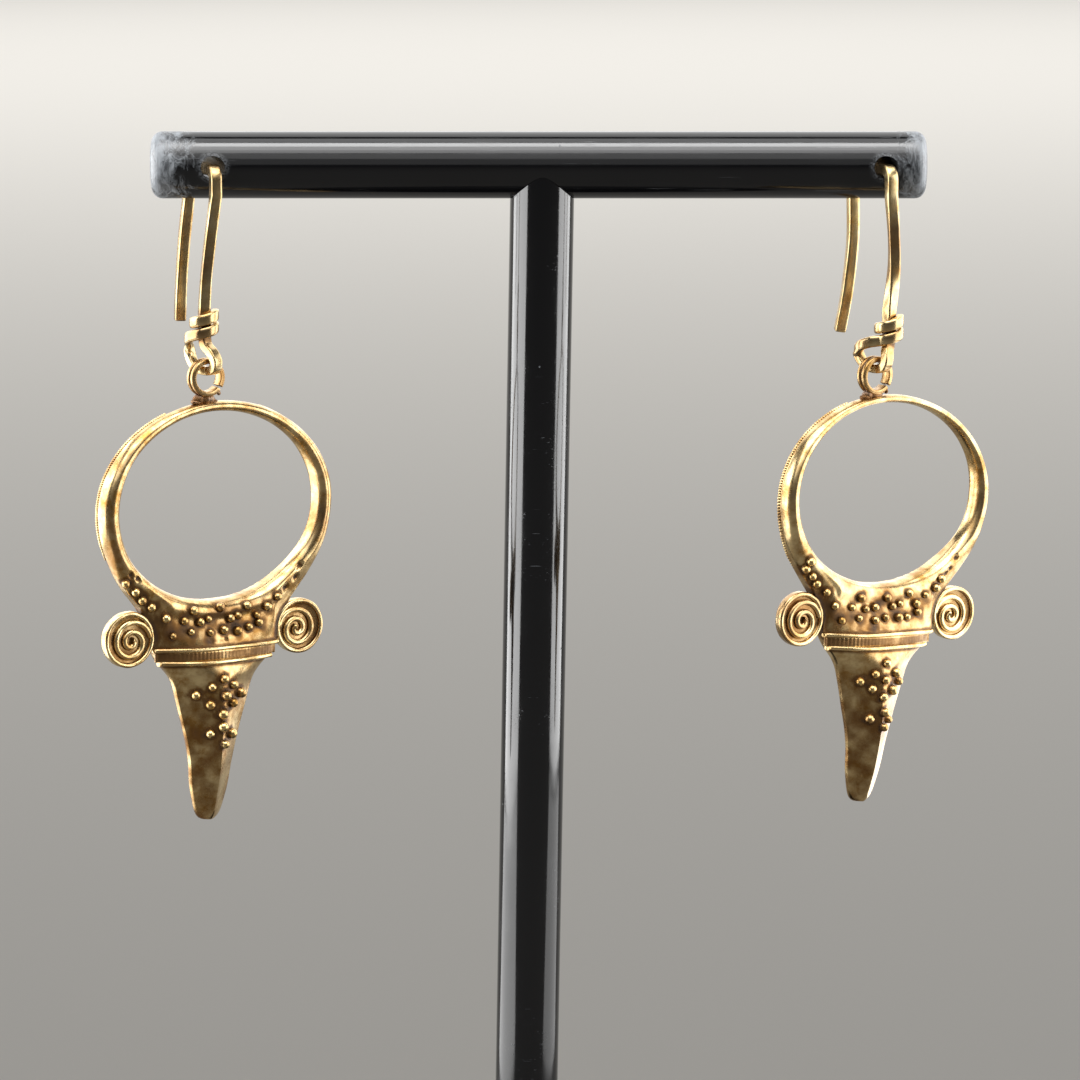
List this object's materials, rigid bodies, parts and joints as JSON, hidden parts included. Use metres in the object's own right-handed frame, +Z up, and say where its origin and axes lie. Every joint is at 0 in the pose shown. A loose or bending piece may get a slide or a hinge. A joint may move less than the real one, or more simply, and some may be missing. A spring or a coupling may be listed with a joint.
{
  "type": "pair of bull's head drop earrings on a T-bar earring stand",
  "caption": "Gold bull's head drop earrings with granulation and scroll ears, hanging by bent ear wires from the drilled crossbar of a black acrylic T-bar stand",
  "frame": {"origin": "centre of the base disc's flat underside", "axes": "X runs along the crossbar to the viewer's right, -Y is the front, +Z is up"},
  "size_m": [0.0672, 0.046, 0.0925],
  "materials": {
    "acrylic": "polished black acrylic rod with fine scratches, frosted cut ends",
    "gold": "high-carat gold, satin and worn, with brown patina in the hollows"
  },
  "bodies": {
    "stand": {"stand_base": "acrylic", "stand_post": "acrylic", "stand_crossbar": "acrylic", "left_ear_hook": "gold", "right_ear_hook": "gold"},
    "left_drop": {"left_pendant": "gold"},
    "right_drop": {"right_pendant": "gold"}
  },
  "joints": [
    {"name": "left_drop_swing", "type": "hinge", "parent": "stand", "child": "left_drop", "pos_m": [-0.02353, -0.00331, 0.07495], "axis": [0.766, -0.6428, 0], "range_deg": [-40, 40]},
    {"name": "right_drop_swing", "type": "hinge", "parent": "stand", "child": "right_drop", "pos_m": [0.02638, -0.00322, 0.0751], "axis": [0.7071, -0.7071, 0], "range_deg": [-40, 40]}
  ]
}
